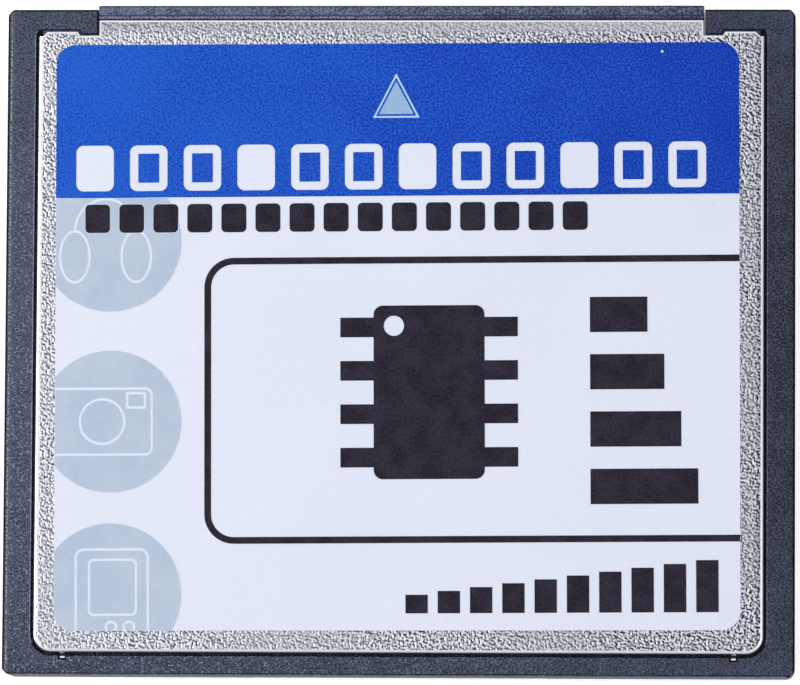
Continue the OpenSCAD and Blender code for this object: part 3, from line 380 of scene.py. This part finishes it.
def makeSky(look):
    world = bpy.data.worlds.new("studio")
    bpy.context.scene.world = world
    world.use_nodes = True
    tree = world.node_tree
    tree.nodes.clear()
    direction = addNode(tree, "ShaderNodeTexCoord")
    parts = splitPlace(tree, direction.outputs["Generated"])
    strength = addNode(tree, "ShaderNodeMapRange",
                       {0: parts[2], 1: 0.0, 2: 1.0, 3: look["skySide"], 4: look["skyTop"]})
    soft = addNode(tree, "ShaderNodeBackground", {0: (1.0, 1.0, 1.0), 1: strength.outputs[0]})
    white = addNode(tree, "ShaderNodeBackground", {0: (1.0, 1.0, 1.0), 1: 1.0})
    rays = addNode(tree, "ShaderNodeLightPath")
    mixed = addNode(tree, "ShaderNodeMixShader",
                    {0: rays.outputs["Is Camera Ray"], 1: soft.outputs[0], 2: white.outputs[0]})
    out = addNode(tree, "ShaderNodeOutputWorld", {0: mixed.outputs[0]})
    out.is_active_output = True


def makeLamp(name, look):
    data = bpy.data.lights.new(name, "AREA")
    data.size, data.energy, data.color = look["size"] * mm, look["power"], look["colour"]
    made = bpy.data.objects.new(name, data)
    bpy.context.scene.collection.objects.link(made)
    made.location = Vector(look["at"]) * mm
    made.rotation_mode = "QUATERNION"
    made.rotation_quaternion = Vector(look["at"]).to_track_quat("Z", "Y")
    made.visible_camera = False


def makeFloor(look):
    bm = bmesh.new()
    bmesh.ops.create_grid(bm, x_segments=2, y_segments=2, size=look["floorSize"] / 2 * mm)
    bmesh.ops.translate(bm, verts=bm.verts, vec=(0, 0, -look["floorDrop"] * mm))
    mesh = bpy.data.meshes.new("floor")
    bm.to_mesh(mesh)
    bm.free()
    floor = bpy.data.objects.new("floor", mesh)
    bpy.context.scene.collection.objects.link(floor)
    material, tree, shader, place = startMaterial("paleTable")
    tone = useGroup(tree, mottle, {"Place": place, "Size": look["floorSpots"]})["Tone"]
    feed(tree, shader.inputs["Base Color"], blend(tree, tone, look["floorDark"], look["floorLight"]))
    shader.inputs["Roughness"].default_value = look["floorRough"]
    shader.inputs["Specular IOR Level"].default_value = look["floorSpecular"]
    rays = addNode(tree, "ShaderNodeLightPath")
    seen = doMath(tree, "MAXIMUM", rays.outputs["Is Camera Ray"], rays.outputs["Is Glossy Ray"])
    shader.inputs["Emission Color"].default_value = (1, 1, 1, 1)
    feed(tree, shader.inputs["Emission Strength"], doMath(tree, "MULTIPLY", seen, look["floorGlow"]))
    mesh.materials.append(material)


makeSky(studio)
makeLamp("key", studio["key"])
makeLamp("fill", studio["fill"])
makeFloor(studio)
print("camera, floor and light are set")


# steel panels

panelLook = {
    # dark and light hold the painted shade in the emboss's hollows and the painted highlight on its ridges
    "dark": (0.03, 0.033, 0.055),
    "light": (0.89, 0.905, 1.0),
    "tone": 0.53,
    "paintedLightDrift": 0.06,                      # painted light: lighter towards the left
    "patch": 5.0,                       # size of the patches with less contrast, mm
    "patchContrast": 0.75,
    "flatStrip": 16.5,                  # the emboss is pressed flatter in front of this line
    "flatFade": 0.5,                    # and fades into that over this many mm
    "frontTone": -0.015,                # the front strip is even in tone across the card
    "frontDrift": 0.14,
    "frontContrast": 0.56,              # and its emboss is flatter towards the right
    "frontFlatter": 0.18,
    # the rim is polished, and its colour is painted brighter as a highlight
    "rimPolishAndHighlightColour": (0.96, 0.965, 0.99),
    "grain": 0.192,                     # size of the emboss, mm
    "lean": 0.32,                       # how much its strokes lean one way
    "depth": 0.03,
    "rough": 0.32,
    "rimRough": 0.25,
    "flatFrom": 0.999,                  # the sheet is flat where its normal is nearer upright than this
    "rimFrom": 0.97,                    # and smooth where it has turned down to this
    "rimShadeFrom": 19.2,               # painted shade: a darker band on the sheet before the right rim, where it begins to roll down
    "rimShadeTo": 19.45,
    "rimShade": -0.18,
    "middle": 1.6,                      # height half way between the two panels
    "toSheet": 1.57,                    # what lies nearer the middle is rim or lug
    "lugShadeIn": (-17.0, -17.03),         # a lug is painted dark as shade from here to here
    "lugShadeOut": (-17.17, -17.21),      # and its painted shade ends from here to here
    "border": 0.06,                     # painted highlight along the cut edges, mm
    "leftRim": -19.3,                   # and along the rim left of this line
    "edge": 0.05,                       # rounding of the cut edges, mm
    "smoothTo": 38,                     # degrees
}
# painted highlight along the sheet's edges
paintedRimHighlightLook = {
    "dark": (0.84, 0.85, 0.88), "light": (0.98, 0.985, 1.0),
    "spot": 0.9, "grain": 0.1, "spotShare": 0.5, "grainShare": 0.7, "depth": 0.003,
    "rough": 0.3, "roughSpread": 0.05, "metal": 0.5,
}


def makeSteel(look):
    material, tree, shader, place = startMaterial("embossedSteel")
    sheet = useGroup(tree, embossed, {"Place": place, "Size": look["grain"], "Lean": look["lean"]})
    patches = useGroup(tree, mottle, {"Place": place, "Size": look["patch"]})["Tone"]
    x, y, z = splitPlace(tree, place)
    front = stretch(tree, y, look["flatStrip"], look["flatStrip"] + look["flatFade"])
    # contrast of the emboss
    flatter = doMath(tree, "MULTIPLY_ADD", x, -look["frontFlatter"] / halfWidth, look["frontContrast"])
    contrast = doMath(tree, "MULTIPLY", stretch(tree, patches, 0.0, 1.0, look["patchContrast"], 1.0),
                      stretch(tree, front, 0.0, 1.0, 1.0, flatter))
    # its tone from light to dark, with painted light lighter towards the left and painted shade before the
    # right rim
    toneWithPaintedLight = doMath(tree, "MULTIPLY_ADD", x, -look["paintedLightDrift"] / halfWidth, look["tone"])
    frontTone = doMath(tree, "MULTIPLY_ADD", x, look["frontDrift"] / halfWidth, look["frontTone"])
    toneWithPaintedLight = doMath(tree, "MULTIPLY_ADD", front, frontTone, toneWithPaintedLight)
    # painted shade where the sheet begins to roll down before the right rim
    beforeRim = stretch(tree, x, look["rimShadeFrom"], look["rimShadeTo"])
    toneWithPaintedLight = doMath(tree, "MULTIPLY_ADD", beforeRim, look["rimShade"], toneWithPaintedLight)
    tone = doMath(tree, "MULTIPLY_ADD", doMath(tree, "SUBTRACT", sheet["Tone"], 0.5), contrast, toneWithPaintedLight)
    colour = blend(tree, tone, look["dark"], look["light"])
    # the rolled rim and what lies lower than the faces are smooth, and painted bright beyond their polish as
    # a highlight
    facing = addNode(tree, "ShaderNodeNewGeometry")
    turned = doMath(tree, "ABSOLUTE", splitPlace(tree, facing.outputs["Normal"])[2])
    fromMiddle = doMath(tree, "ABSOLUTE", doMath(tree, "SUBTRACT", z, look["middle"]))
    low = doMath(tree, "LESS_THAN", fromMiddle, look["toSheet"])
    rim = doMath(tree, "MAXIMUM", low, stretch(tree, turned, look["flatFrom"], look["rimFrom"]))
    colour = blend(tree, rim, colour, look["rimPolishAndHighlightColour"])
    # painted shade: a lug is painted dark between its root and its tip, where it lies in the gap beside the
    # frame
    lugShade = doMath(tree, "MULTIPLY", stretch(tree, y, *look["lugShadeIn"]),
                  stretch(tree, y, *look["lugShadeOut"], 1.0, 0.0))
    colour = blend(tree, doMath(tree, "MULTIPLY", low, lugShade), colour, look["dark"])
    feed(tree, shader.inputs["Base Color"], colour)
    shader.inputs["Metallic"].default_value = 1.0
    feed(tree, shader.inputs["Roughness"], stretch(tree, rim, 0.0, 1.0, look["rough"], look["rimRough"]))
    height = doMath(tree, "MULTIPLY", sheet["Height"],
                    doMath(tree, "MULTIPLY", contrast, doMath(tree, "SUBTRACT", 1.0, rim)))
    addBump(tree, shader, height, look["depth"])
    return material


def paintRimHighlight(bm, cut, height, look):
    # a narrow painted highlight on the flat sheet, along the cut edges and along the left rim, which faces
    # the lamp
    flat = [f for f in bm.faces if isLevel(f, look["flatFrom"]) and liesAt(f, height, tight)]
    for face in insetFlat(bm, flat, look["border"]):
        onCut = any(beside in cut for edge in face.edges for beside in edge.link_faces)
        if onCut or face.calc_center_median().x < look["leftRim"]:
            face.material_index = 1


steel, paintedRimHighlight = makeSteel(panelLook), makeFinish("steelPaintedRimHighlight", paintedRimHighlightLook)
for node, name, side in (("top_panel", "frontPanel", max), ("bottom_panel", "backPanel", min)):
    bm = copyNode(node)
    height = outermost(bm, side)
    cut = set(soften(bm, brinkEdges(bm, height, isLevel), panelLook["edge"]))
    paintRimHighlight(bm, cut, height, panelLook)
    finishPiece(bm, name, node, [steel, paintedRimHighlight], panelLook["smoothTo"])
print("steel panels done")


# moulded frame halves

frameLook = {
    "dark": (0.006, 0.008, 0.022), "light": (0.085, 0.103, 0.17),
    "spot": 0.9, "grain": 0.105, "spotShare": 0.16, "grainShare": 0.9, "depth": 0.012,
    # painted light: lighter towards the left and fading towards both ends, with the grain standing out less
    # towards the right
    "paintedLightDrift": 0.31, "paintedLightFade": 0.8, "grainPaintedLightDrift": 0.2,
    "rough": 0.5, "roughSpread": 0.1, "specular": 0.2,
    "speckSpacing": 0.12, "speckShare": 0.6, "speckRadius": 0.05, "speckColour": (0.23, 0.27, 0.37),
    "lines": [                          # at: place on the axis in mm, half: half the width, from: least grain
        # painted highlights along the left outer edge, which faces the lamp
        {"axis": 0, "at": -21.12, "half": 0.09, "from": -0.3, "share": 0.35, "colour": (0.14, 0.13, 0.145)},
        {"axis": 0, "at": -21.18, "half": 0.035, "from": 0.45, "share": 0.85, "colour": (0.38, 0.4, 0.48)},
    ],
    "edge": 0.05,                       # rounding along the gap, mm
    "chamfer": 0.12,                    # height of the outer chamfer
    "brink": 0.12,                      # rounding under it
    "railGap": 19.8,                    # the gap's edges beyond this belong to the side rails
    "chamferSide": 21.2,                # where the outer chamfer begins, mm from the middle
    "chamferRear": -18,
    "chamferFront": 17.8,
}
# painted highlight on the rounded inner edges of the side rails, and painted shade on the other edges round
# the opening and on the outer chamfer
paintedHighlightEdgeLook = dict(frameLook, dark=(0.08, 0.09, 0.13), light=(0.33, 0.36, 0.46), rough=0.38, lines=[])
dimPaintedHighlightEdgeLook = dict(frameLook, dark=(0.03, 0.032, 0.05), light=(0.15, 0.16, 0.21), paintedLightDrift=0.0, lines=[])
paintedShadeEdgeLook = dict(frameLook, dark=(0.002, 0.002, 0.004), light=(0.01, 0.011, 0.016), rough=0.8, lines=[],
                 specular=0.03, speckShare=0.0)
frameFinishes = [
    makeFinish("slatePlastic", frameLook),
    makeFinish("slatePlasticPaintedHighlight", paintedHighlightEdgeLook),
    makeFinish("slatePlasticPaintedShade", paintedShadeEdgeLook),
    makeFinish("slatePlasticDimPaintedHighlight", dimPaintedHighlightEdgeLook),
]
plain, paintedHighlightEdge, brink, dimPaintedHighlightEdge = range(4)


def paintedEdgeLight(x, look):
    # painted highlight along the left rail, a dimmer one along the right one, painted shade elsewhere round
    # the opening
    if x < -look["railGap"]:
        return paintedHighlightEdge
    return dimPaintedHighlightEdge if x > look["railGap"] else brink


def shapeFrame(bm, side, look):
    height = outermost(bm, side)
    chamferFoot = height - look["chamfer"] if side is max else height + look["chamfer"]
    for face in soften(bm, brinkEdges(bm, height, isLevel), look["edge"]):
        face.material_index = paintedEdgeLight(face.calc_center_median().x, look)
    # painted shade on the outer chamfer
    for face in bm.faces:
        at = face.calc_center_median()
        outer = abs(at.x) > look["chamferSide"] or not look["chamferRear"] <= at.y <= look["chamferFront"]
        if outer and isSloped(face):
            face.material_index = brink
    # the rounding under the chamfer is painted dark as shade, except along the rear wall, which is light up
    # to the chamfer
    for face in soften(bm, brinkEdges(bm, chamferFoot, isSloped, loose), look["brink"]):
        face.material_index = plain if face.calc_center_median().y < look["chamferRear"] else brink


for node, name, side in (("upper_frame", "upperFrame", max), ("lower_frame", "lowerFrame", min)):
    bm = copyNode(node)
    shapeFrame(bm, side, frameLook)
    finishPiece(bm, name, node, frameFinishes)
print("frame done")


# connector

connectorLook = {
    "dark": (0.024, 0.036, 0.08), "light": (0.165, 0.198, 0.315),
    # painted light: lighter towards the left
    "spot": 1.5, "grain": 0.105, "spotShare": 0.3, "grainShare": 1.1, "paintedLightDrift": 0.2, "depth": 0.01,
    "rough": 0.45, "roughSpread": 0.1, "specular": 0.2,
    "speckSpacing": 0.35, "speckShare": 0.25, "speckRadius": 0.045, "speckColour": (0.3, 0.33, 0.42),
    "lines": [
        # a painted highlight on the groove's front edge, fading towards the right, and two dark lines, in
        # front of it and along the front edge
        {"axis": 1, "at": 17.545, "half": 0.045, "from": 0.2, "share": 0.85, "colour": (0.38, 0.4, 0.52),
         "fadeFrom": -2.5, "fadeTo": 4.5},
        {"axis": 1, "at": 17.67, "half": 0.035, "from": 0.0, "share": 0.6, "colour": (0.02, 0.026, 0.05)},
        {"axis": 1, "at": 18.17, "half": 0.06, "from": -0.3, "share": 0.75, "colour": (0.02, 0.024, 0.036)},
    ],
    "lipSide": 16.45,                   # half the lip's width, mm
    "corner": 0.14,                     # radius of the lip's outer corners
    "ledge": 3.05,                      # height of the lip's top
    "groove": (17.4, 17.5),             # narrow groove in front of the panel's tongue
    "grooveDepth": 0.3,
}


def cornerEdges(bm, look):
    # upright edges at the two front corners of the lip
    found = []
    for edge in bm.edges:
        a, b = (v.co for v in edge.verts)
        upright = abs(a.x - b.x) < tight and abs(a.y - b.y) < tight
        if upright and abs(abs(a.x) - look["lipSide"]) < loose and abs(a.y - halfLength) < loose:
            found.append(edge)
    return found


def cutGroove(bm, look):
    # the ledge is cut across in front of the tongue and that strip pressed down
    rear, front = look["groove"]
    for y in look["groove"]:
        top = [f for f in bm.faces if isLevel(f) and liesAt(f, look["ledge"], loose)]
        around = list({e for f in top for e in f.edges} | {v for f in top for v in f.verts})
        bmesh.ops.bisect_plane(bm, geom=top + around, dist=onCutPlane,
                               plane_co=(0, y, 0), plane_no=(0, 1, 0))
    strip = [f for f in bm.faces if isLevel(f) and f.normal.z > 0 and liesAt(f, look["ledge"], loose)
             and rear < f.calc_center_median().y < front]
    pressed = bmesh.ops.extrude_face_region(bm, geom=strip)
    moved = [item for item in pressed["geom"] if isinstance(item, bmesh.types.BMVert)]
    bmesh.ops.translate(bm, verts=moved, vec=(0, 0, -look["grooveDepth"]))
    bmesh.ops.delete(bm, geom=strip, context="FACES_ONLY")
    print("groove faces:", len(strip))


bm = copyNode("connector_housing")
cutGroove(bm, connectorLook)
soften(bm, cornerEdges(bm, connectorLook), connectorLook["corner"], 4)
finishPiece(bm, "connectorHousing", "connector_housing",
            [makeFinish("connectorPlastic", connectorLook)])
print("connector done")


# discs: the fine lines are left open in the ink, and their edges are pale too

filmLook = {
    "dark": (0.745, 0.79, 0.93), "light": (0.785, 0.828, 0.965),
    "spot": 6.0, "grain": 0.25, "spotShare": 0.5, "grainShare": 0.5, "depth": 0.003,
    "rough": 0.5, "roughSpread": 0.06, "specular": 0.2,
    "speckSpacing": 1.3, "speckShare": 0.12, "speckRadius": 0.06, "speckColour": (0.6, 0.64, 0.78),
}
discLook = {
    "dark": (0.44, 0.53, 0.7), "light": (0.53, 0.61, 0.735),
    "spot": 3.0, "grain": 0.2, "spotShare": 0.5, "grainShare": 0.3, "depth": 0.002,
    "rough": 0.5, "roughSpread": 0.05, "specular": 0.15,
    "paleEdge": 0.012,                  # mm
    "sliver": 0.002,                    # faces and edges finer than this go first, mm
}
lineLook = dict(filmLook, dark=(0.77, 0.84, 0.95), light=(0.83, 0.89, 1.0))

bm = copyNode("print_discs")
bmesh.ops.dissolve_degenerate(bm, dist=discLook["sliver"], edges=bm.edges)
inkTop = outermost(bm, max)
flat = [f for f in bm.faces if liesAt(f, inkTop, tight)]
for face in insetFlat(bm, flat, discLook["paleEdge"]):
    face.material_index = 1
finishPiece(bm, "discPrint", "print_discs",
            [makeFinish("greyBlueInk", discLook), makeFinish("paleLines", lineLook)])


# arrow: its outline is paler than its middle

arrowLook = {
    "dark": (0.27, 0.45, 0.69), "light": (0.36, 0.53, 0.76),
    "spot": 0.8, "grain": 0.15, "spotShare": 0.5, "grainShare": 0.5, "depth": 0.002,
    "rough": 0.5, "roughSpread": 0.05, "specular": 0.15,
    "outline": 0.16,                    # only faces of the outline reach this near its foot, mm
}
outlineLook = dict(arrowLook, dark=(0.4, 0.64, 0.95), light=(0.5, 0.74, 1.0))

bm = copyNode("print_arrow")
foot = min(v.co.y for v in bm.verts)
for face in bm.faces:
    if min(v.co.y for v in face.verts) < foot + arrowLook["outline"]:
        face.material_index = 1
finishPiece(bm, "arrowPrint", "print_arrow",
            [makeFinish("paleBlueInk", arrowLook), makeFinish("paleOutline", outlineLook)])
print("discs and arrow done")


# other inks, and what is inside the card

blackLook = {
    "dark": (0.012, 0.01, 0.019), "light": (0.034, 0.03, 0.05),
    "spot": 1.0, "grain": 0.15, "spotShare": 0.5, "grainShare": 0.6, "depth": 0.002,
    "rough": 0.5, "roughSpread": 0.08, "specular": 0.1,
}
blueLook = {
    "dark": (0.003, 0.034, 0.4), "light": (0.016, 0.12, 0.65),
    # painted light: lighter towards the left
    "spot": 4.0, "grain": 0.11, "spotShare": 0.2, "grainShare": 1.1, "paintedLightDrift": 0.42, "depth": 0.003,
    "rough": 0.45, "roughSpread": 0.08, "specular": 0.1,
    "speckSpacing": 2.6, "speckShare": 0.1, "speckRadius": 0.06, "speckColour": (0.2, 0.35, 0.75),
    "dust": [(14.18, 15.67, 0.07)],     # across, along and radius, mm
    "dustColour": (0.85, 0.88, 0.95),
}
goldLook = {
    "dark": (0.72, 0.5, 0.2), "light": (0.9, 0.72, 0.36),
    "spot": 0.8, "grain": 0.08, "spotShare": 0.5, "grainShare": 0.5, "depth": 0.002,
    "rough": 0.28, "roughSpread": 0.08, "metal": 1.0,
}
tinLook = {
    "dark": (0.55, 0.55, 0.56), "light": (0.78, 0.78, 0.78),
    "spot": 0.7, "grain": 0.06, "spotShare": 0.5, "grainShare": 0.5, "depth": 0.003,
    "rough": 0.35, "roughSpread": 0.1, "metal": 1.0,
}
chipLook = {
    "dark": (0.012, 0.012, 0.013), "light": (0.03, 0.03, 0.032),
    "spot": 3.0, "grain": 0.06, "spotShare": 0.5, "grainShare": 0.5, "depth": 0.006,
    "rough": 0.62, "roughSpread": 0.1, "specular": 0.4,
}
boardLook = {
    "dark": (0.012, 0.1, 0.038), "light": (0.03, 0.19, 0.075),
    "spot": 2.4, "grain": 0.3, "spotShare": 0.5, "grainShare": 0.5, "depth": 0.006,
    "rough": 0.35, "roughSpread": 0.06, "coat": 0.4, "coatRough": 0.2,
}
ceramicLook = {
    "dark": (0.26, 0.15, 0.07), "light": (0.46, 0.32, 0.18),
    "spot": 0.5, "grain": 0.05, "spotShare": 0.5, "grainShare": 0.5, "depth": 0.003,
    "rough": 0.5, "roughSpread": 0.1,
}
tantalumLook = {
    "dark": (0.6, 0.32, 0.03), "light": (0.8, 0.5, 0.09),
    "spot": 0.9, "grain": 0.06, "spotShare": 0.5, "grainShare": 0.5, "depth": 0.004,
    "rough": 0.45, "roughSpread": 0.1,
}
resistorLook = {
    "dark": (0.01, 0.01, 0.012), "light": (0.025, 0.025, 0.03),
    "spot": 0.5, "grain": 0.05, "spotShare": 0.5, "grainShare": 0.5, "depth": 0.002,
    "rough": 0.2, "roughSpread": 0.08,
}
clockBaseLook = {
    "dark": (0.28, 0.24, 0.17), "light": (0.42, 0.37, 0.28),
    "spot": 0.8, "grain": 0.05, "spotShare": 0.5, "grainShare": 0.5, "depth": 0.004,
    "rough": 0.6, "roughSpread": 0.08,
}
clockLidLook = {
    "dark": (0.6, 0.52, 0.32), "light": (0.82, 0.76, 0.55),
    "spot": 1.2, "grain": 0.08, "spotShare": 0.5, "grainShare": 0.5, "depth": 0.002,
    "rough": 0.25, "roughSpread": 0.08, "metal": 1.0,
}

finishes = {
    "label_white": makeFinish("labelFilm", filmLook),
    "ink_blue": makeFinish("blueInk", blueLook),
    "ink_black": makeFinish("blackInk", blackLook),
    "contact_gold": makeFinish("goldPlating", goldLook),
    "tinned_leads": makeFinish("tinPlating", tinLook),
    "chip_moulding": makeFinish("chipMoulding", chipLook),
    "board_laminate": makeFinish("solderMask", boardLook),
    "capacitor_ceramic": makeFinish("brownCeramic", ceramicLook),
    "tantalum_case": makeFinish("ochreCase", tantalumLook),
    "resistor_coat": makeFinish("blackGlaze", resistorLook),
    "oscillator_ceramic": makeFinish("clockCeramic", clockBaseLook),
    "oscillator_metal": makeFinish("clockLid", clockLidLook),
}
for part in frame["record"]["subparts"]:
    finish = finishes.get(part["material_slot"])
    if finish:
        mesh = nodes[part["node"]].data
        mesh.materials.clear()
        mesh.materials.append(finish)
print("finishes done")
